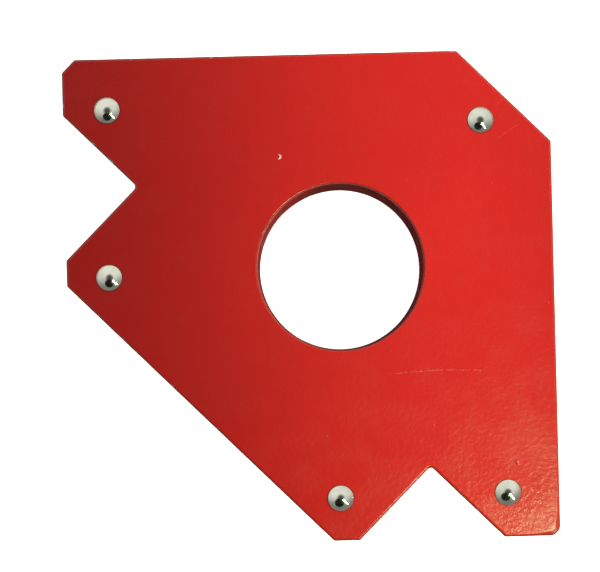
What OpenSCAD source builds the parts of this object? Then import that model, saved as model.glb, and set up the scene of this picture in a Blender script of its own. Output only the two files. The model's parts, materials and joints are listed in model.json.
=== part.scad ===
// Arrow-shaped magnetic welding holder, lying flat.
// Two steel pole plates are riveted over ferrite blocks. Aluminium strip closes the gap round
// the outline, and a steel sleeve lines the centre hole. The origin is on the hole's axis,
// halfway through the thickness. The outline is symmetric about the diagonal y = x, and its
// cut tip points to +X +Y.

/* [Outline] */
// Hole axis to each of the two long square edges
edge_reach = 60; // [59:0.5:62]
// Hole axis to the ends of the feet
foot_reach = 77; // [76:0.5:80]
// Length of the narrow feet, next to the diagonal edge
narrow_foot = 7.3; // [6.5:0.1:8]
// Length of the wide feet, next to the square edges
wide_foot = 15.7; // [15:0.1:17]
// Leg of the 45 degree cut across the tip
tip_cut = 26; // [24:0.5:27]
// Leg of the cut at the outer corner on the -X side
rear_corner_cut = 3.6; // [1:0.1:4]
// Leg of the cut at the outer corner on the -Y side
front_corner_cut = 1.8; // [1.5:0.1:4]
// Radius of the outer corner on the -Y side, rounder than the others
front_corner_r = 2.5; // [0.8:0.1:3]
// Radius in the bottom of each V notch
notch_r = 1.2; // [0.5:0.1:2]
// Radius of every other corner
corner_r = 0.8; // [0.3:0.1:1]
// Diameter of the centre hole
hole_d = 47; // [44:0.5:48]

/* [Thickness] */
// Thickness of each steel plate
plate_t = 2.5; // [2:0.1:3]
// Gap between the two plates
plate_gap = 20; // [16:1:24]

/* [Magnets] */
// Length of a ferrite block, along its edge
block_l = 40; // [34:1:40]
// Width of a ferrite block, in from its edge
block_w = 25; // [20:1:25]
// Blocks in a row behind each working edge
blocks_per_edge = 2; // [1:1:2]
// How far each square edge's row is shifted from the hole's axis, away from the tip
row_shift = 10; // [9:0.5:11]
// Blocks stacked between the plates
block_layers = 2; // [1:1:3]

/* [Edge strip and sleeve] */
// How far the strip sits back from the plate edges
strip_inset = 1.5; // [1:0.1:2]
// Thickness of the strip
strip_t = 1.5; // [1:0.1:1.5]
// Leg of the strip's cut at the two outer corners
strip_corner_cut = 4; // [3.5:0.1:5]
// Wall of the sleeve in the centre hole
sleeve_wall = 1.5; // [1:0.1:1.5]

/* [Rivets] */
// Foot end to the rivet in each wide foot
wide_rivet_in = 12.5; // [11:0.5:14]
// Square edge to the rivet in each wide foot
wide_rivet_side = 14.5; // [13:0.5:15.5]
// Foot end to the rivet in each narrow foot
narrow_rivet_in = 12; // [11.5:0.1:12.5]
// How far the narrow foot's rivet is off the line of the foot
narrow_rivet_side = 1.5; // [1:0.1:2]
// Square edges to the rivet behind the tip
tip_rivet_in = 19.7; // [19:0.1:21]
// Diameter of the rivet shank
shank_d = 4; // [3.5:0.1:4.5]
// Diameter of the domed head
head_d = 7.2; // [6.5:0.1:8]
// Height of the domed head
head_h = 1.8; // [1.4:0.1:2.4]
// Diameter of the closed head on the underside
tail_d = 7.6; // [7:0.1:8]
// Height of the closed head on the underside
tail_h = 1.6; // [1.4:0.1:1.8]
// How much of the closed head's dome is pressed flat
tail_flat = 0.4; // [0.2:0.1:0.6]
// Height of the straight rim under each dome
rim_h = 0.3; // [0.2:0.05:0.4]
// Outer diameter of the spacer tube round each shank
spacer_d = 8; // [7:0.1:8]

/* [Hidden] */
$fn = 96;
root2 = sqrt(2);
fit_gap = 0.1;        // clearance round the rivet shanks
block_gap = 0.5;      // between the strip and the ferrite behind it
past = 1;             // how far a cutter runs past what it cuts
arc_steps = 6;        // facets in a rounded corner
plate_z = plate_gap / 2;
notch_depth = (edge_reach - wide_foot - narrow_foot / 2) / 2;
notch_mid = narrow_foot / 2 + notch_depth;
notch_bottom = foot_reach - notch_depth;
long_edge = (foot_reach + narrow_foot / 2) / root2;
block_face = strip_inset + strip_t + block_gap;

// Rivet places: one in each foot, and one behind the tip
rivet_spots = [
    [-foot_reach + wide_rivet_in, edge_reach - wide_rivet_side],
    [edge_reach - wide_rivet_side, -foot_reach + wide_rivet_in],
    [-foot_reach + narrow_rivet_in, -narrow_rivet_side],
    [-narrow_rivet_side, -foot_reach + narrow_rivet_in],
    [edge_reach - tip_rivet_in, edge_reach - tip_rivet_in],
];

// Rows of ferrite blocks: name, direction that the working edge faces, its distance from the
// hole's axis, and where the middle of the row lies along the edge
block_rows = [
    ["rear", 90, edge_reach, row_shift],
    ["right", 0, edge_reach, -row_shift],
    ["long", 225, long_edge, 0],
];

// Strips: name, and the first and last corner of the outline that each one runs between
strips = [
    ["tip_strip", 0, 1],
    ["rear_edge_strip", 1, 4],
    ["left_notch_strip", 4, 6],
    ["long_edge_strip", 6, 9],
    ["front_notch_strip", 9, 11],
    ["right_edge_strip", 11, 14],
];

function spacer_name(i) = str("rivet_spacer_", i + 1);
function block_name(row, layer, i) = str("magnet_", row[0], "_", layer + 1, "_", i + 1);

// Every edge of the outline, counterclockwise from the +X edge, as the direction that it
// faces and its distance from the hole's axis
function edges(rear_cut, front_cut) = [
    [0, edge_reach],
    [45, (2 * edge_reach - tip_cut) / root2],
    [90, edge_reach],
    [135, (edge_reach + foot_reach - rear_cut) / root2],
    [180, foot_reach],
    [225, (notch_bottom - notch_mid) / root2],
    [135, (notch_bottom + notch_mid) / root2],
    [180, foot_reach],
    [225, long_edge],
    [270, foot_reach],
    [315, (notch_bottom + notch_mid) / root2],
    [225, (notch_bottom - notch_mid) / root2],
    [270, foot_reach],
    [315, (edge_reach + foot_reach - front_cut) / root2],
];

// Corner i of an outline moved inward: where edge i meets the edge after it
function corner(outline, i, inward) =
    let (
        a = outline[i % len(outline)],
        b = outline[(i + 1) % len(outline)],
        da = a[1] - inward,
        db = b[1] - inward,
        turn = sin(b[0] - a[0])
    )
    [(da * sin(b[0]) - db * sin(a[0])) / turn, (db * cos(a[0]) - da * cos(b[0])) / turn];

// The same corner of the outline, rounded: the arc turns right in a notch and left elsewhere
function corner_arc(outline, i) =
    let (
        from = outline[i % len(outline)][0],
        to = outline[(i + 1) % len(outline)][0],
        turn = (to - from + 540) % 360 - 180,
        convex_r = i < len(outline) - 2 ? corner_r : front_corner_r,
        r = turn < 0 ? -notch_r : convex_r,
        centre = corner(outline, i, r)
    )
    [for (k = [0 : arc_steps]) let (t = from + turn * k / arc_steps) centre + r * [cos(t), sin(t)]];

// A copy of a shape at each rivet
module at_rivets() {
    for (spot = rivet_spots)
        translate(spot)
            children();
}

module plate() {
    outline = edges(rear_corner_cut, front_corner_cut);
    difference() {
        linear_extrude(plate_t)
            polygon([for (i = [0 : len(outline) - 1]) each corner_arc(outline, i)]);
        translate([0, 0, -past])
            cylinder(d = hole_d, h = plate_t + 2 * past);
        at_rivets()
            translate([0, 0, -past])
                cylinder(d = shank_d + 2 * fit_gap, h = plate_t + 2 * past);
    }
}

module top_plate() {
    color("firebrick")
        translate([0, 0, plate_z])
            plate();
}

module bottom_plate() {
    color("firebrick")
        translate([0, 0, -plate_z - plate_t])
            plate();
}

module hole_sleeve() {
    color("darkred")
        translate([0, 0, -plate_z])
            difference() {
                cylinder(d = hole_d + 2 * sleeve_wall, h = plate_gap);
                translate([0, 0, -past])
                    cylinder(d = hole_d, h = plate_gap + 2 * past);
            }
}

// A rivet head standing on z = 0: a straight rim, and a dome whose top can be pressed flat
module rivet_head(base_d, height, flat) {
    dome_h = height + flat - rim_h;
    ball_r = (base_d * base_d / 4 + dome_h * dome_h) / (2 * dome_h);
    cylinder(d = base_d, h = rim_h);
    translate([0, 0, rim_h])
        intersection() {
            translate([0, 0, dome_h - ball_r])
                sphere(r = ball_r);
            cylinder(d = base_d, h = dome_h - flat);
        }
}

module rivets() {
    outer_z = plate_z + plate_t;
    color("silver")
        at_rivets()
            union() {
                translate([0, 0, -outer_z])
                    cylinder(d = shank_d, h = 2 * outer_z);
                translate([0, 0, outer_z])
                    rivet_head(head_d, head_h, 0);
                translate([0, 0, -outer_z])
                    mirror([0, 0, 1])
                        rivet_head(tail_d, tail_h, tail_flat);
            }
}

module rivet_spacer(spot) {
    color("gainsboro")
        translate([spot[0], spot[1], -plate_z])
            difference() {
                cylinder(d = spacer_d, h = plate_gap);
                translate([0, 0, -past])
                    cylinder(d = shank_d + 2 * fit_gap, h = plate_gap + 2 * past);
            }
}

module ferrite_block(row, layer, i) {
    block_h = plate_gap / block_layers;
    color("dimgray")
        rotate(row[1])
            translate([
                row[2] - block_face - block_w,
                row[3] + (i - blocks_per_edge / 2) * block_l,
                -plate_z + layer * block_h
            ])
                cube([block_w, block_l, block_h]);
}

module edge_strip(first, last) {
    outline = edges(strip_corner_cut, strip_corner_cut);
    color("lightgray")
        translate([0, 0, -plate_z])
            linear_extrude(plate_gap)
                polygon(concat(
                    [for (i = [first : last]) corner(outline, i, strip_inset)],
                    [for (i = [last : -1 : first]) corner(outline, i, strip_inset + strip_t)]
                ));
}

top_plate();
bottom_plate();
hole_sleeve();
rivets();
for (i = [0 : len(rivet_spots) - 1])
    rivet_spacer(rivet_spots[i]);
for (row = block_rows, layer = [0 : block_layers - 1], i = [0 : blocks_per_edge - 1])
    ferrite_block(row, layer, i);
for (strip = strips)
    edge_strip(strip[1], strip[2]);
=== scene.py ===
"""Looks for the arrow-shaped magnetic welding holder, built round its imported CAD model.

The holder lies flat, with the hole's axis on Z and its cut tip towards +X +Y. Sizes are in
metres, and M turns millimetres into them.
"""

import json
from math import atan2, cos, hypot, pi, radians, sin, sqrt, tau

import bmesh
import bpy
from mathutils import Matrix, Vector, noise

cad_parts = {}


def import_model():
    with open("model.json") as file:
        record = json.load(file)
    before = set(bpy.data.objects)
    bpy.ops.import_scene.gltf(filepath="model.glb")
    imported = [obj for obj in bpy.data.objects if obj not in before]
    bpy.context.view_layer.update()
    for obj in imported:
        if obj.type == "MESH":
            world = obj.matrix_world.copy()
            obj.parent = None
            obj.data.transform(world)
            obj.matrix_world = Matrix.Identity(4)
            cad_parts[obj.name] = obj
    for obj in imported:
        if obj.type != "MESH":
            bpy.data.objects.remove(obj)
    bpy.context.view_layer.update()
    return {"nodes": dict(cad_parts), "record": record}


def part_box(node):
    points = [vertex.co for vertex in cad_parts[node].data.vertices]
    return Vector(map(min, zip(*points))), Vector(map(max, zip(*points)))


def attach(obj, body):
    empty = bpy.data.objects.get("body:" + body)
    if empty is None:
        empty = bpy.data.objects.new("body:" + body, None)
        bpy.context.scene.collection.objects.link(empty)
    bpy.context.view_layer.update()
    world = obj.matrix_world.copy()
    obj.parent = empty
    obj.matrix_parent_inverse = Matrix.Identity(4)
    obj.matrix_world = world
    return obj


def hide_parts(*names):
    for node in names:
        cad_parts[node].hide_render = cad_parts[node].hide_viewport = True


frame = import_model()

M = 0.001

# Sizes read from the CAD model
PLATE_LOW, PLATE_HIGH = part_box("top_plate")
EDGE_REACH = PLATE_HIGH[0]
FOOT_REACH = -PLATE_LOW[0]
PLATE_TOP = PLATE_HIGH[2]
PLATE_UNDER = PLATE_LOW[2]
HOLE = next(m for m in frame["record"]["mounts"] if m["name"] == "centre_hole")
HOLE_R = HOLE["dims"]["r_mm"] * M
SLEEVE_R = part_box("hole_sleeve")[1][0]
FLOOR_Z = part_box("rivets")[0][2]
HEAD_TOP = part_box("rivets")[1][2]
STRIP_INSET = EDGE_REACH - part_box("right_edge_strip")[1][0]

# The rest of the outline and the strip, as in the CAD model
NARROW_FOOT = 7.3 * M
WIDE_FOOT = 15.7 * M
TIP_CUT = 26 * M
REAR_CORNER_CUT = 3.6 * M
FRONT_CORNER_CUT = 1.8 * M
STRIP_CORNER_CUT = 4 * M
NOTCH_R = 1.2 * M
CORNER_R = 0.8 * M
FRONT_CORNER_R = 2.5 * M
STRIP_T = 1.5 * M

# How the plates' edges are rolled over by blanking
EDGE_ROLL = 0.8 * M
HOLE_ROLL = 0.5 * M
BURR_ROLL = 0.2 * M
CORNER_ROLL = 1.5 * M        # added to it on the front outer corner
CORNER_ROLL_REACH = 9 * M
HOLD = 0.1 * M               # flat band that keeps a roll's shading off the face
UNEVEN = 0.02 * M            # how far a sprayed and baked edge wavers
UNEVEN_SIZE = 7 * M
POINT_SPACING = 4 * M

# How exposed to wear the far side of a plate's edge is, which also sets how much painted shade darkens
# it; the roll's middle is 1
BURR_START_WEAR_AND_SHADE = 0.6
BURR_WEAR_AND_SHADE = 0.8
SLEEVE_END_SHADE = 0.4

# Small roundings, and the half gap at each joint of the edge strip
SLEEVE_END_R = 0.35 * M
RIVET_RIM_R = 0.08 * M
STRIP_BEND_R = 1.6 * M
STRIP_JOINT = 0.12 * M

# Points round the hole, each rivet and the reflected card
HOLE_POINTS = 192
RIVET_POINTS = 96
CARD_POINTS = 48

# Rivets, as in the CAD model
SHANK_R = 2 * M
HEAD_R = 3.6 * M
TAIL_R = 3.8 * M
RIM_H = 0.3 * M
TAIL_FLAT_R = 1.9 * M


def rivet_centres():
    """Where the rivets stand, from the spacer round each shank."""
    spacers = sorted(n for n in frame["nodes"] if n.startswith("rivet_spacer"))
    boxes = [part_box(n) for n in spacers]
    return [Vector(((lo[0] + hi[0]) / 2, (lo[1] + hi[1]) / 2, 0)) for lo, hi in boxes]


RIVETS = rivet_centres()


# ---------------------------------------------------------------- outline

def edges(rear_cut, front_cut):
    """Each edge, counterclockwise from +X, as the direction it faces and its distance out."""
    root2 = sqrt(2)
    notch_depth = (EDGE_REACH - WIDE_FOOT - NARROW_FOOT / 2) / 2
    notch_mid = NARROW_FOOT / 2 + notch_depth
    notch_bottom = FOOT_REACH - notch_depth
    upper, lower = (notch_bottom - notch_mid) / root2, (notch_bottom + notch_mid) / root2
    return [
        (0, EDGE_REACH),
        (45, (2 * EDGE_REACH - TIP_CUT) / root2),
        (90, EDGE_REACH),
        (135, (EDGE_REACH + FOOT_REACH - rear_cut) / root2),
        (180, FOOT_REACH),
        (225, upper),
        (135, lower),
        (180, FOOT_REACH),
        (225, (FOOT_REACH + NARROW_FOOT / 2) / root2),
        (270, FOOT_REACH),
        (315, lower),
        (225, upper),
        (270, FOOT_REACH),
        (315, (EDGE_REACH + FOOT_REACH - front_cut) / root2),
    ]


def corner(outline, i, inward):
    """Where edge i meets the next, with both moved inward."""
    (a, da), (b, db) = outline[i % len(outline)], outline[(i + 1) % len(outline)]
    a, b = radians(a), radians(b)
    da, db = da - inward, db - inward
    turn = sin(b - a)
    return Vector(((da * sin(b) - db * sin(a)) / turn, (db * cos(a) - da * cos(b)) / turn))


def corner_arc(outline, i, convex_r, notch_r, inward=0, steps=8):
    """A rounded corner as (point, outward normal) pairs."""
    start, end = outline[i % len(outline)][0], outline[(i + 1) % len(outline)][0]
    turn = (end - start + 540) % 360 - 180
    r = -notch_r if turn < 0 else convex_r
    centre = corner(outline, i, inward + r)
    pairs = []
    for k in range(steps + 1):
        t = radians(start + turn * k / steps)
        normal = Vector((cos(t), sin(t)))
        pairs.append((centre + r * normal, normal))
    return pairs


def rounded_outline():
    """The plate's outline as (point, outward normal), with points along the straight edges."""
    outline = edges(REAR_CORNER_CUT, FRONT_CORNER_CUT)
    last = len(outline) - 1
    front_corners = (last - 1, last)
    arcs = [
        corner_arc(outline, i, FRONT_CORNER_R if i in front_corners else CORNER_R, NOTCH_R)
        for i in range(len(outline))
    ]
    points = []
    for i, arc in enumerate(arcs):
        points += arc
        (start, normal), (end, _) = arc[-1], arcs[(i + 1) % len(arcs)][0]
        count = int((end - start).length / POINT_SPACING)
        points += [(start.lerp(end, k / (count + 1)), normal) for k in range(1, count + 1)]
    return points


# ---------------------------------------------------------------- mesh helpers

def finish_mesh(bm, name, sharp_angle=50):
    """Turns a bmesh into a smooth-shaded object with sharp edges where it bends hard."""
    bmesh.ops.recalc_face_normals(bm, faces=bm.faces)
    mesh = bpy.data.meshes.new(name)
    bm.to_mesh(mesh)
    bm.free()
    mesh.shade_smooth()
    mesh.set_sharp_from_angle(angle=radians(sharp_angle))
    piece = bpy.data.objects.new(name, mesh)
    bpy.context.collection.objects.link(piece)
    return piece


def around(count):
    """Evenly spaced angles round a circle."""
    return [tau * k / count for k in range(count)]


def add_loop(bm, points, wear_and_shade_amount, wear_and_shade_layer):
    """A closed loop of vertices, each with how exposed to wear it is and how much painted edge shade
    it gets.
    """
    verts = [bm.verts.new(p) for p in points]
    for v in verts:
        v[wear_and_shade_layer] = wear_and_shade_amount
    return verts


def bridge(bm, a, b):
    """Quads between two closed loops of the same length."""
    for i in range(len(a)):
        j = (i + 1) % len(a)
        bm.faces.new((a[i], a[j], b[j], b[i]))


def loop_edges(bm, verts):
    """The edges of a closed loop of vertices."""
    n = len(verts)
    return [bm.edges.get((verts[i], verts[(i + 1) % n])) for i in range(n)]


def roll_profile(roll, depth, steps=7):
    """A blanked edge from the face to the far face: (share of roll, fixed inset, z, wear and painted
    shade).
    """
    rows = [(1, HOLD, 0, 0)]
    for k in range(steps + 1):
        t = k / steps * pi / 2
        rows.append((1 - sin(t), 0, -roll * (1 - cos(t)), sin(2 * t)))
    burr_z = -depth + BURR_ROLL
    rows.append((0, 0, burr_z, BURR_START_WEAR_AND_SHADE))
    for t in (pi / 4, pi / 2):
        rows.append((0, BURR_ROLL * (1 - cos(t)), burr_z - BURR_ROLL * sin(t), BURR_WEAR_AND_SHADE))
    rows.append((0, roll + HOLD, -depth, 0))
    return rows


def corner_roll(point):
    """Extra roll on the front outer corner, fading out along the edges beside it."""
    corner_at = Vector((EDGE_REACH, -FOOT_REACH))
    near = max(0, 1 - (point - corner_at).length / CORNER_ROLL_REACH)
    return CORNER_ROLL * near * near * (3 - 2 * near)


def waver(point, z):
    """How far a sprayed and baked edge falls short of its true line."""
    return max(0, UNEVEN * noise.noise(Vector((point.x, point.y, z)) / UNEVEN_SIZE))


def plate_mesh(name, face_z, side):
    """A steel plate whose rolled face is at face_z and looks along +Z or -Z, as side says."""
    bm = bmesh.new()
    wear_and_shade = bm.verts.layers.float.new("wear_and_shade")
    depth = PLATE_TOP - PLATE_UNDER
    outer = rounded_outline()
    rolled = []
    for share, inset, dz, wear_and_shade_amount in roll_profile(EDGE_ROLL, depth):
        points = []
        for p, normal in outer:
            roll = EDGE_ROLL + corner_roll(p)
            uneven = waver(p, dz) if share < 1 else 0
            q = p - normal * (share * roll + inset + uneven)
            points.append((q.x, q.y, face_z + side * dz))
        rolled.append(add_loop(bm, points, wear_and_shade_amount, wear_and_shade))
    bored = []
    for share, inset, dz, wear_and_shade_amount in roll_profile(HOLE_ROLL, depth):
        r = HOLE_R + share * HOLE_ROLL + inset
        points = [(r * cos(t), r * sin(t), face_z + side * dz) for t in around(HOLE_POINTS)]
        bored.append(add_loop(bm, points, wear_and_shade_amount, wear_and_shade))
    for loops in (rolled, bored):
        for a, b in zip(loops, loops[1:]):
            bridge(bm, a, b)
    for end in (0, -1):
        rim = loop_edges(bm, rolled[end]) + loop_edges(bm, bored[end])
        bmesh.ops.triangle_fill(bm, use_beauty=True, use_dissolve=False, edges=rim)
    return finish_mesh(bm, name)


def sleeve_mesh(name, steps=6):
    """The tube between the plates, with its two ends rounded over to leave a seam."""
    bm = bmesh.new()
    wear_and_shade = bm.verts.layers.float.new("wear_and_shade")
    inside = []
    for k in range(steps + 1):
        t = k / steps * pi / 2
        r = HOLE_R + SLEEVE_END_R * (1 - sin(t))
        z = PLATE_UNDER - SLEEVE_END_R * (1 - cos(t))
        inside.append((r, z, SLEEVE_END_SHADE * sin(2 * t)))
    mirrored = [(r, -z, wear_and_shade_amount) for r, z, wear_and_shade_amount in reversed(inside)]
    outside = [(SLEEVE_R, -PLATE_UNDER, 0), (SLEEVE_R, PLATE_UNDER, 0)]
    loops = []
    for r, z, wear_and_shade_amount in inside + mirrored + outside:
        points = [(r * cos(t), r * sin(t), z) for t in around(HOLE_POINTS)]
        loops.append(add_loop(bm, points, wear_and_shade_amount, wear_and_shade))
    for a, b in zip(loops, loops[1:] + loops[:1]):
        bridge(bm, a, b)
    return finish_mesh(bm, name)


def dome(base_r, rim_z, top_z, flat_r, steps=22):
    """A head's section from its rim to its axis: an arc, pressed flat inside flat_r."""
    height = top_z - rim_z
    drop = (base_r ** 2 - flat_r ** 2 - height ** 2) / (2 * height)
    ball_r = hypot(base_r, drop)
    start, end = atan2(drop, base_r), atan2(drop + height, flat_r)
    rows = []
    for k in range(steps + 1):
        t = start + (end - start) * k / steps
        rows.append((ball_r * cos(t), rim_z - drop + ball_r * sin(t)))
    return rows


def rivet_section():
    """A rivet's half section, from the flat of its closed head up to just short of its top."""
    soft = RIVET_RIM_R
    bottom, top = -PLATE_TOP, PLATE_TOP
    tail = [(r, -z) for r, z in dome(TAIL_R - soft, -bottom + RIM_H, -FLOOR_Z, TAIL_FLAT_R)]
    head = dome(HEAD_R - soft, top + RIM_H, HEAD_TOP, 0)
    rows = list(reversed(tail))
    rows += [(TAIL_R, bottom - RIM_H + soft), (TAIL_R, bottom - soft), (TAIL_R - soft, bottom)]
    rows += [(SHANK_R, bottom), (SHANK_R, top)]
    rows += [(HEAD_R - soft, top), (HEAD_R, top + soft), (HEAD_R, top + RIM_H - soft)]
    return rows + head[:-1]


def rivet_mesh(name):
    """All five rivets as one object of five closed shells."""
    bm = bmesh.new()
    wear_and_shade = bm.verts.layers.float.new("wear_and_shade")
    for centre in RIVETS:
        loops = []
        for r, z in rivet_section():
            points = [(centre.x + r * cos(t), centre.y + r * sin(t), z) for t in around(RIVET_POINTS)]
            loops.append(add_loop(bm, points, 0, wear_and_shade))
        for a, b in zip(loops, loops[1:]):
            bridge(bm, a, b)
        bm.faces.new(loops[0])
        tip = bm.verts.new((centre.x, centre.y, HEAD_TOP))
        last = loops[-1]
        for i, v in enumerate(last):
            bm.faces.new((v, last[(i + 1) % len(last)], tip))
    return finish_mesh(bm, name, sharp_angle=40)


def strip_mesh(name, first, last):
    """A bent aluminium strip that runs between two corners of the outline."""
    outline = edges(STRIP_CORNER_CUT, STRIP_CORNER_CUT)

    def side(inward):
        """The points of the strip's outer or inner side, short of the joint at each end."""
        notch_bend_r = STRIP_BEND_R + STRIP_INSET - inward
        run = [corner(outline, first, inward)]
        for i in range(first + 1, last):
            run += [p for p, _ in corner_arc(outline, i, STRIP_BEND_R, notch_bend_r, inward, 6)]
        run.append(corner(outline, last, inward))
        run[0] = run[0] + (run[1] - run[0]).normalized() * STRIP_JOINT
        run[-1] = run[-1] + (run[-2] - run[-1]).normalized() * STRIP_JOINT
        return run

    out, back = side(STRIP_INSET), side(STRIP_INSET + STRIP_T)
    bm = bmesh.new()
    wear_and_shade = bm.verts.layers.float.new("wear_and_shade")
    ring = out + back[::-1]
    loops = []
    for z in (-PLATE_UNDER, PLATE_UNDER):
        loops.append(add_loop(bm, [(p.x, p.y, z) for p in ring], 0, wear_and_shade))
    bridge(bm, *loops)
    for loop in loops:
        for i in range(len(out) - 1):
            bm.faces.new((loop[i], loop[i + 1], loop[-2 - i], loop[-1 - i]))
    return finish_mesh(bm, name, sharp_angle=35)


# ---------------------------------------------------------------- materials

class Nodes:
    """Builds one material's node tree."""

    def __init__(self, name):
        self.material = bpy.data.materials.new(name)
        self.material.use_nodes = True
        self.tree = self.material.node_tree
        self.tree.nodes.clear()
        self.here = self.add("ShaderNodeTexCoord").outputs["Object"]

    def add(self, kind, settings=(), **inputs):
        """A node with its settings, and its inputs linked or set by name."""
        node = self.tree.nodes.new(kind)
        for key, value in dict(settings).items():
            setattr(node, key, value)
        for key, value in inputs.items():
            self.put(node.inputs[key.replace("_", " ")], value)
        return node

    def put(self, socket, value):
        """Links another node's output to a socket, or sets the socket to a constant."""
        if isinstance(value, bpy.types.NodeSocket):
            self.tree.links.new(value, socket)
        else:
            socket.default_value = value

    def math(self, operation, *values):
        node = self.add("ShaderNodeMath", {"operation": operation})
        for socket, value in zip(node.inputs, values):
            self.put(socket, value)
        return node.outputs[0]

    def vector(self, operation, a, b):
        node = self.add("ShaderNodeVectorMath", {"operation": operation})
        self.put(node.inputs[0], a)
        self.put(node.inputs[1], b)
        return node.outputs["Value" if operation in ("DISTANCE", "DOT_PRODUCT") else "Vector"]

    def noise(self, scale, detail=3.0, roughness=0.55, stretch=None):
        """Noise from 0 to 1; scale is in waves to the metre, or stretch is, along each axis."""
        where = self.vector("MULTIPLY", self.here, stretch) if stretch else self.here
        node = self.add("ShaderNodeTexNoise", Vector=where, Scale=scale, Detail=detail,
                        Roughness=roughness)
        return node.outputs["Fac"]

    def ramp(self, value, low, high, low_out=0.0, high_out=1.0):
        """A smooth step from low_out to high_out as the value goes from low to high."""
        node = self.add("ShaderNodeMapRange", {"interpolation_type": "SMOOTHSTEP"})
        for key, v in zip(("Value", "From Min", "From Max", "To Min", "To Max"),
                          (value, low, high, low_out, high_out)):
            self.put(node.inputs[key], v)
        return node.outputs["Result"]

    def mix(self, factor, a, b):
        node = self.add("ShaderNodeMix", {"data_type": "RGBA"})
        for i, value in ((0, factor), (6, a), (7, b)):
            self.put(node.inputs[i], value)
        return node.outputs[2]

    def spot(self, centre, radius, soft=0.35):
        """1 inside a round spot on a face, 0 outside it."""
        away = self.vector("DISTANCE", self.here, centre)
        return self.ramp(away, radius, radius * (1 - soft))

    def total(self, values):
        result = values[0]
        for value in values[1:]:
            result = self.math("ADD", result, value)
        return result

    def bump(self, height, distance, strength):
        node = self.add("ShaderNodeBump", Height=height, Distance=distance, Strength=strength)
        return node.outputs["Normal"]

    def surface(self, shader):
        out = self.add("ShaderNodeOutputMaterial")
        self.tree.links.new(shader, out.inputs["Surface"])
        return self.material


def colour(r, g, b):
    """An opaque colour from linear red, green and blue."""
    return (r, g, b, 1.0)


PAINT_RED = colour(0.42, 0.0106, 0.0102)
PAINT_DEEP = colour(0.38, 0.0088, 0.0095)
PAINT_EDGE_SHADE = colour(0.20, 0.022, 0.007)
# Painted shade: the sleeve's reds are darker copies of the plate paint, standing in for the shade
# inside the hole.
SLEEVE_SHADED_RED = colour(0.26, 0.007, 0.006)
SLEEVE_SHADED_DEEP = colour(0.15, 0.005, 0.004)
PRIMER = colour(0.78, 0.45, 0.42)
STEEL = colour(0.56, 0.55, 0.53)
# Dark of the pinholes, also used as painted shade round the rivet heads
GRIME_AND_SHADE = colour(0.035, 0.012, 0.01)

# Specks of dust that were baked into the top coat, as x, y and size in millimetres
NIBS = [(55, -36, 0.30), (48.4, -56, 0.85), (54.6, -60.3, 0.32), (53.2, -63.7, 0.30),
        (42.7, -62.1, 0.35), (43, -66.5, 0.25), (25, -45, 0.35), (-5, -47.5, 0.25), (11, -55, 0.28),
        (-3, -65.5, 0.22), (13.5, -24, 0.22), (43, 22.5, 0.25), (19, 24, 0.22),
        (58.5, 26, 0.30), (46, 41, 0.22), (58, -11.5, 0.30)]

# Hairline scratches as start, end and width in millimetres
SCRATCHES = [((11.2, -30.6), (43, -30.2), 0.08), ((44.7, 34.8), (51.8, 39.2), 0.08),
             ((44.2, 43.6), (47.9, 47), 0.08)]

# The chip is a crescent: a round spot with a second one, a little to its side, taken out of it
CHIP = Vector((-16.5, 31.3)) * M
CHIP_R = 0.8 * M
BITE_OFFSET = Vector((-0.42, 0.08)) * M
BITE_R = 0.78 * M

# How high or deep each mark is, as a share of the orange peel's own bump distance
PEEL_HEIGHT = 0.09 * M
NIB_HEIGHT = 7.0
SCRATCH_DEPTH = 0.25
CHIP_DEPTH = 2.0

# How strongly each one changes the paint's colour
NIB_HIGHLIGHT_TONE = 0.10
SCRATCH_TONE = 0.07
RIVET_SHADE_TONE = 0.75
EDGE_SHADE_TONE = 0.55

RIVET_SHADE_RING = 0.45 * M    # how far the painted shade reaches past each rivet head
SCRATCH_BOW = 0.02       # how far a scratch bows, as a share of its length
PAINT_IOR = 1.48


def scratch_mask(n, start, end, width):
    """A slightly bowed hairline between two points, broken up so that it comes and goes."""
    a, b = Vector(start) * M, Vector(end) * M
    length = (b - a).length
    along = (b - a) / length
    across = Vector((-along.y, along.x))
    s = n.vector("DOT_PRODUCT", n.here, (*along, 0))
    s = n.math("SUBTRACT", s, a.dot(along))
    t = n.vector("DOT_PRODUCT", n.here, (*across, 0))
    arch = n.math("SINE", n.math("MULTIPLY", s, pi / length))
    bow = n.math("MULTIPLY", arch, SCRATCH_BOW * length)
    t = n.math("SUBTRACT", n.math("SUBTRACT", t, a.dot(across)), bow)
    line = n.ramp(n.math("ABSOLUTE", t), width * M, 0.3 * width * M)
    inside = n.math("MULTIPLY", n.ramp(s, 0.0, 0.15 * length), n.ramp(s, length, 0.8 * length))
    broken = n.ramp(n.noise(900, 2), 0.3, 0.52)
    return n.math("MULTIPLY", n.math("MULTIPLY", line, inside), broken)


def chip_mask(n):
    """A small crescent knocked out of the top coat."""
    whole = n.spot((*CHIP, PLATE_TOP), CHIP_R, 0.3)
    bite = n.spot((*(CHIP + BITE_OFFSET), PLATE_TOP), BITE_R, 0.3)
    crescent = n.math("MULTIPLY", whole, n.math("SUBTRACT", 1.0, bite))
    ragged = n.ramp(n.noise(1400, 3), 0.3, 0.45)
    return n.math("MULTIPLY", crescent, ragged)


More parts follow.
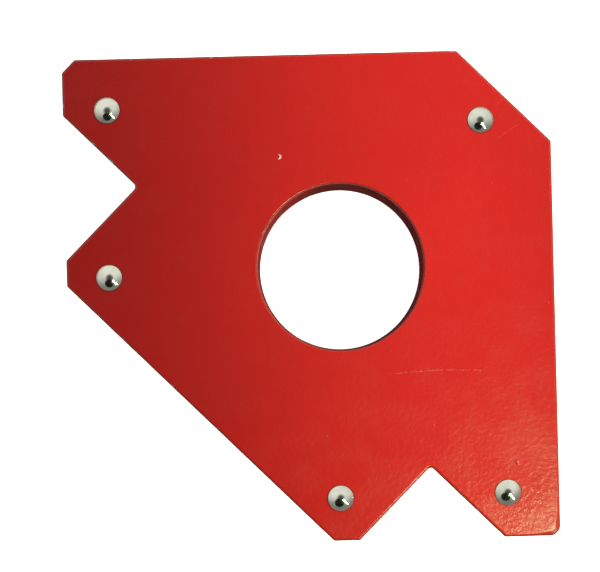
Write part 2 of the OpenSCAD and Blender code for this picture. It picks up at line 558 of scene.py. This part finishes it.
def mark_face(n, tone, height):
    """The top face's colour and height with its nibs, scratches and chip, painted highlights on the
    nibs and painted shade round the rivet rims.
    """
    nib_bumps_and_highlights = n.total([n.spot((x * M, y * M, PLATE_TOP), r * M, 0.9) for x, y, r in NIBS])
    scratches = n.total([scratch_mask(n, *s) for s in SCRATCHES])
    chip = chip_mask(n)
    height = n.math("ADD", height, n.math("MULTIPLY", nib_bumps_and_highlights, NIB_HEIGHT))
    height = n.math("SUBTRACT", height, n.math("MULTIPLY", scratches, SCRATCH_DEPTH))
    height = n.math("SUBTRACT", height, n.math("MULTIPLY", chip, CHIP_DEPTH))
    tone = n.mix(n.math("MULTIPLY", scratches, SCRATCH_TONE), tone, PRIMER)
    # Painted highlight: each nib, besides its real bump, is lightened a little towards the primer's
    # pale pink.
    tone = n.mix(n.math("MULTIPLY", nib_bumps_and_highlights, NIB_HIGHLIGHT_TONE), tone, PRIMER)
    tone = n.mix(chip, tone, PRIMER)
    # Painted shade: a dark ring on the face round each rivet head.
    for centre in RIVETS:
        near = n.spot((centre.x, centre.y, PLATE_TOP), HEAD_R + RIVET_SHADE_RING, 0.12)
        tone = n.mix(n.math("MULTIPLY", near, RIVET_SHADE_TONE), tone, GRIME_AND_SHADE)
    return tone, height


def powder_coat(name, rich, deep, roughness, shine=0.5, marked=False):
    """Baked paint with orange peel and pinholes, rubbed to bare steel on its edges, where painted
    shade also darkens it.
    """
    n = Nodes(name)
    cloud = n.ramp(n.noise(22, 2), 0.35, 0.65)
    mottle = n.ramp(n.noise(420, 3), 0.35, 0.7)
    tone = n.mix(n.math("MULTIPLY", cloud, 0.45), rich, deep)
    tone = n.mix(n.math("MULTIPLY", mottle, 0.22), tone, deep)
    pinholes = n.ramp(n.noise(2600, 1), 0.74, 0.80)
    tone = n.mix(n.math("MULTIPLY", pinholes, 0.5), tone, GRIME_AND_SHADE)

    peel = n.noise(920, 2, 0.45)
    fine = n.noise(2100, 2, 0.5)
    height = n.math("ADD", peel, n.math("MULTIPLY", fine, 0.16))
    if marked:
        tone, height = mark_face(n, tone, height)

    wear_and_shade_amount = n.add("ShaderNodeAttribute", {"attribute_name": "wear_and_shade"}).outputs["Fac"]
    # Painted shade: the edge rolls are darkened towards a dark brown where the wear value is high.
    tone = n.mix(n.ramp(wear_and_shade_amount, 0.2, 1.0, 0.0, EDGE_SHADE_TONE), tone, PAINT_EDGE_SHADE)
    rubbed = n.ramp(n.noise(240, 5, 0.7), 0.60, 0.66)
    rubbed = n.math("MULTIPLY", rubbed, n.ramp(wear_and_shade_amount, 0.55, 0.95))
    normal = n.bump(height, PEEL_HEIGHT, 0.6)
    paint = n.add("ShaderNodeBsdfPrincipled", Base_Color=tone, Normal=normal)
    patchy = n.ramp(n.noise(90, 3), 0.3, 0.7, 0.85 * roughness, 1.2 * roughness)
    n.put(paint.inputs["Roughness"], patchy)
    paint.inputs["IOR"].default_value = PAINT_IOR
    paint.inputs["Specular IOR Level"].default_value = shine
    metal = n.add("ShaderNodeBsdfPrincipled", Base_Color=STEEL, Metallic=1.0, Normal=normal)
    n.put(metal.inputs["Roughness"], n.ramp(n.noise(1500, 2), 0.3, 0.7, 0.28, 0.5))
    both = n.add("ShaderNodeMixShader")
    n.put(both.inputs[0], rubbed)
    n.put(both.inputs[1], paint.outputs[0])
    n.put(both.inputs[2], metal.outputs[0])
    return n.surface(both.outputs[0])


def rivet_plating():
    """Polished nickel plate with faint scuffs, haze and a few pits."""
    n = Nodes("rivet_plating")
    haze = n.ramp(n.noise(350, 4), 0.4, 0.7)
    pits = n.ramp(n.noise(2600, 2), 0.70, 0.78)
    tone = n.mix(haze, colour(0.90, 0.89, 0.80), colour(0.78, 0.76, 0.66))
    tone = n.mix(n.math("MULTIPLY", pits, 0.6), tone, colour(0.2, 0.18, 0.15))
    scuff = n.noise(900, 3, 0.6, stretch=(1.0, 0.25, 1.0))
    height = n.math("SUBTRACT", n.math("MULTIPLY", scuff, 0.4), n.math("MULTIPLY", pits, 0.8))
    metal = n.add("ShaderNodeBsdfPrincipled", Base_Color=tone, Metallic=1.0,
                  Normal=n.bump(height, 0.01 * M, 0.35))
    n.put(metal.inputs["Roughness"], n.ramp(haze, 0.0, 1.0, 0.10, 0.2))
    return n.surface(metal.outputs[0])


def strip_aluminium():
    """Aluminium strip brushed along its length, with dull smears and small dents."""
    n = Nodes("strip_aluminium")
    lines = n.noise(1.0, 4, 0.65, stretch=(60, 60, 5200))
    smear = n.ramp(n.noise(45, 4), 0.35, 0.7)
    tone = n.mix(smear, colour(0.68, 0.69, 0.70), colour(0.5, 0.5, 0.51))
    tone = n.mix(n.math("MULTIPLY", n.ramp(lines, 0.35, 0.7), 0.35), tone, colour(0.36, 0.36, 0.37))
    dents = n.ramp(n.noise(160, 2), 0.68, 0.8)
    height = n.math("SUBTRACT", lines, n.math("MULTIPLY", dents, 1.6))
    metal = n.add("ShaderNodeBsdfPrincipled", Base_Color=tone, Metallic=1.0,
                  Normal=n.bump(height, 0.02 * M, 0.4))
    n.put(metal.inputs["Roughness"], n.ramp(smear, 0.0, 1.0, 0.28, 0.46))
    return n.surface(metal.outputs[0])


def ferrite():
    """Dark sintered ceramic, grainy and a little chalky."""
    n = Nodes("ferrite")
    grain = n.noise(1800, 4, 0.7)
    dusty = n.ramp(n.noise(120, 3), 0.45, 0.75)
    tone = n.mix(n.math("MULTIPLY", dusty, 0.5), colour(0.035, 0.035, 0.038), colour(0.11, 0.105, 0.1))
    block = n.add("ShaderNodeBsdfPrincipled", Base_Color=tone, Normal=n.bump(grain, 0.05 * M, 0.5))
    n.put(block.inputs["Roughness"], n.ramp(grain, 0.3, 0.7, 0.55, 0.75))
    return n.surface(block.outputs[0])


def drawn_steel():
    """The spacers' plain drawn tube."""
    n = Nodes("drawn_steel")
    lines = n.noise(1.0, 3, 0.6, stretch=(2600, 2600, 90))
    tone = n.mix(n.ramp(lines, 0.3, 0.7), colour(0.5, 0.5, 0.49), colour(0.34, 0.34, 0.34))
    metal = n.add("ShaderNodeBsdfPrincipled", Base_Color=tone, Metallic=1.0,
                  Normal=n.bump(lines, 0.02 * M, 0.3))
    n.put(metal.inputs["Roughness"], n.ramp(lines, 0.3, 0.7, 0.25, 0.42))
    return n.surface(metal.outputs[0])


# ---------------------------------------------------------------- pieces

def place(piece, material, slot, *nodes):
    """Gives a piece its material, puts it on the root body, and hides the CAD nodes it stands for."""
    piece.data.materials.append(material)
    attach(piece, "root")
    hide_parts(*nodes)


# The corners of the outline that each strip runs between
STRIPS = {
    "tip_strip": (0, 1),
    "rear_edge_strip": (1, 4),
    "left_notch_strip": (4, 6),
    "long_edge_strip": (6, 9),
    "front_notch_strip": (9, 11),
    "right_edge_strip": (11, 14),
}


def build_holder():
    """The visible pieces, and better materials on the CAD nodes that stay."""
    top_paint = powder_coat("top_paint", PAINT_RED, PAINT_DEEP, 0.2, marked=True)
    under_paint = powder_coat("under_paint", PAINT_RED, PAINT_DEEP, 0.26)
    sleeve_paint = powder_coat("sleeve_paint", SLEEVE_SHADED_RED, SLEEVE_SHADED_DEEP, 0.65, shine=0.06)
    place(plate_mesh("top_pole_plate", PLATE_TOP, 1), top_paint, "plate_paint", "top_plate")
    place(plate_mesh("bottom_pole_plate", -PLATE_TOP, -1), under_paint, "plate_paint", "bottom_plate")
    place(sleeve_mesh("sleeve"), sleeve_paint, "sleeve_paint", "hole_sleeve")
    place(rivet_mesh("domed_rivets"), rivet_plating(), "rivet_plating", "rivets")
    aluminium = strip_aluminium()
    for node, (first, last) in STRIPS.items():
        place(strip_mesh("visible_" + node, first, last), aluminium, "strip_metal", node)
    hidden = {"magnet": ferrite(), "rivet_spacer": drawn_steel()}
    for name, obj in frame["nodes"].items():
        for start, material in hidden.items():
            if name.startswith(start):
                obj.data.materials.clear()
                obj.data.materials.append(material)


# ---------------------------------------------------------------- studio

CAMERA_OVER = Vector((-4.6, -16.2)) * M    # the plate's point straight below the camera
FRAME_CENTRE = Vector((-11.5, -5.1)) * M   # the plate's point in the middle of the picture
FRAME_WIDTH = 168.4 * M                    # how much of the plate's plane the picture spans
CAMERA_HEIGHT = 440 * M
CAMERA_ROLL = radians(-1.42)
SENSOR_MM = 36
FLOOR_HALF = 6                             # half the floor's width
KEY_R = 0.03


def aim(obj, at, target):
    """Puts a lamp or card in its place, with its -Z side towards the target."""
    obj.location = at
    obj.rotation_euler = (Vector(target) - Vector(at)).to_track_quat("-Z", "Y").to_euler()


def softbox(name, at, target, size, watts, tint):
    """An oval lamp that the shiny parts reflect."""
    data = bpy.data.lights.new(name, "AREA")
    data.shape = "ELLIPSE"
    data.size, data.size_y = size
    data.energy = watts
    data.color = tint
    lamp = bpy.data.objects.new(name, data)
    bpy.context.collection.objects.link(lamp)
    aim(lamp, at, target)


def beam(name, at, target, cone, widen, watts, tint):
    """A soft-edged spot, cone degrees high and wider sideways, that nothing reflects."""
    data = bpy.data.lights.new(name, "SPOT")
    data.spot_size = radians(cone)
    data.spot_blend = 1.0
    data.shadow_soft_size = KEY_R
    data.energy = watts
    data.color = tint
    lamp = bpy.data.objects.new(name, data)
    bpy.context.collection.objects.link(lamp)
    aim(lamp, at, target)
    lamp.scale = (widen, 1, 1)
    lamp.visible_glossy = False


def card(name, at, target, radius, shade):
    """A round matt card that the shiny parts reflect; the camera doesn't see it."""
    bm = bmesh.new()
    rim = [(radius * cos(t), radius * sin(t), 0) for t in around(CARD_POINTS)]
    bm.faces.new([bm.verts.new(p) for p in rim])
    obj = finish_mesh(bm, name)
    aim(obj, at, target)
    n = Nodes(name)
    matt = n.add("ShaderNodeBsdfDiffuse", Color=colour(shade, shade, shade))
    obj.data.materials.append(n.surface(matt.outputs[0]))
    obj.visible_camera = False
    obj.visible_shadow = False


def stage_plane(name, z, tone, glow):
    """A wide level plane at z, with a little light of its own."""
    bm = bmesh.new()
    corners = [(-1, -1), (1, -1), (1, 1), (-1, 1)]
    bm.faces.new([bm.verts.new((x * FLOOR_HALF, y * FLOOR_HALF, z)) for x, y in corners])
    plane = finish_mesh(bm, name)
    n = Nodes(name)
    pale = n.add("ShaderNodeBsdfPrincipled", Base_Color=tone, Roughness=0.8)
    pale.inputs["Emission Color"].default_value = colour(1, 1, 1)
    pale.inputs["Emission Strength"].default_value = glow
    plane.data.materials.append(n.surface(pale.outputs[0]))
    return plane


def floor():
    """A white floor for the camera, and a greyer one under it that lights the holder."""
    white = stage_plane("floor", FLOOR_Z, colour(0.9, 0.9, 0.9), 1.0)
    white.visible_diffuse = False
    white.visible_glossy = False
    white.visible_shadow = False
    grey = stage_plane("bounce_floor", FLOOR_Z - 0.5 * M, colour(0.33, 0.26, 0.31), 0.1)
    grey.visible_camera = False


def world():
    """A room that is brightest towards +Y, fades towards the front, and is dim overhead."""
    w = bpy.data.worlds.new("studio")
    w.use_nodes = True
    tree = w.node_tree
    facing = tree.nodes.new("ShaderNodeTexCoord").outputs["Generated"]

    def glow_towards(direction, low, high, low_out, high_out):
        """Strength that changes as the way looked turns towards a direction."""
        dot = tree.nodes.new("ShaderNodeVectorMath")
        dot.operation = "DOT_PRODUCT"
        tree.links.new(facing, dot.inputs[0])
        dot.inputs[1].default_value = Vector(direction).normalized()
        spread = tree.nodes.new("ShaderNodeMapRange")
        spread.interpolation_type = "SMOOTHSTEP"
        tree.links.new(dot.outputs["Value"], spread.inputs["Value"])
        limits = {"From Min": low, "From Max": high, "To Min": low_out, "To Max": high_out}
        for key, value in limits.items():
            spread.inputs[key].default_value = value
        return spread.outputs["Result"]

    walls = glow_towards((-0.1, 0.85, 0.45), -0.6, 0.8, 0.22, 0.85)
    overhead = glow_towards((0, 0, 1), 0.84, 0.99, 1.0, 0.09)
    both = tree.nodes.new("ShaderNodeMath")
    both.operation = "MULTIPLY"
    tree.links.new(walls, both.inputs[0])
    tree.links.new(overhead, both.inputs[1])
    background = tree.nodes["Background"]
    background.inputs["Color"].default_value = colour(0.95, 0.97, 0.9)
    tree.links.new(both.outputs[0], background.inputs["Strength"])
    bpy.context.scene.world = w


def camera():
    """Looks straight down, and is shifted and rolled to match the photograph."""
    data = bpy.data.cameras.new("camera")
    data.sensor_width = SENSOR_MM
    data.lens = SENSOR_MM * CAMERA_HEIGHT / FRAME_WIDTH
    data.dof.use_dof = False
    data.clip_start = 0.01
    off = FRAME_CENTRE - CAMERA_OVER
    right = Vector((cos(CAMERA_ROLL), sin(CAMERA_ROLL)))
    up = Vector((-sin(CAMERA_ROLL), cos(CAMERA_ROLL)))
    data.shift_x = off.dot(right) / FRAME_WIDTH
    data.shift_y = off.dot(up) / FRAME_WIDTH
    obj = bpy.data.objects.new("camera", data)
    obj.location = (*CAMERA_OVER, PLATE_TOP + CAMERA_HEIGHT)
    obj.rotation_euler = (0, 0, CAMERA_ROLL)
    bpy.context.collection.objects.link(obj)
    bpy.context.scene.camera = obj


def studio():
    world()
    floor()
    camera()
    beam("key", at=(0.5, 0.06, 0.45), target=(0.015, 0.005, 0), cone=9.6, widen=6.6,
         watts=36, tint=(0.77, 1, 0.72))
    softbox("glow", at=(0.17, -0.21, 0.5), target=(0.03, -0.05, 0), size=(0.12, 0.12),
            watts=1.5, tint=(0.42, 0.82, 0.42))
    softbox("panel", at=(0.29, -0.33, 0.32), target=(0.03, -0.05, 0), size=(0.035, 0.3),
            watts=0.4, tint=(1, 0.95, 0.82))
    card("front_card", at=(-0.08, -0.27, 0.36), target=(-0.02, 0, 0), radius=0.24, shade=0.02)
    settings = bpy.context.scene.view_settings
    settings.view_transform = "Standard"
    settings.look = "None"


build_holder()
studio()
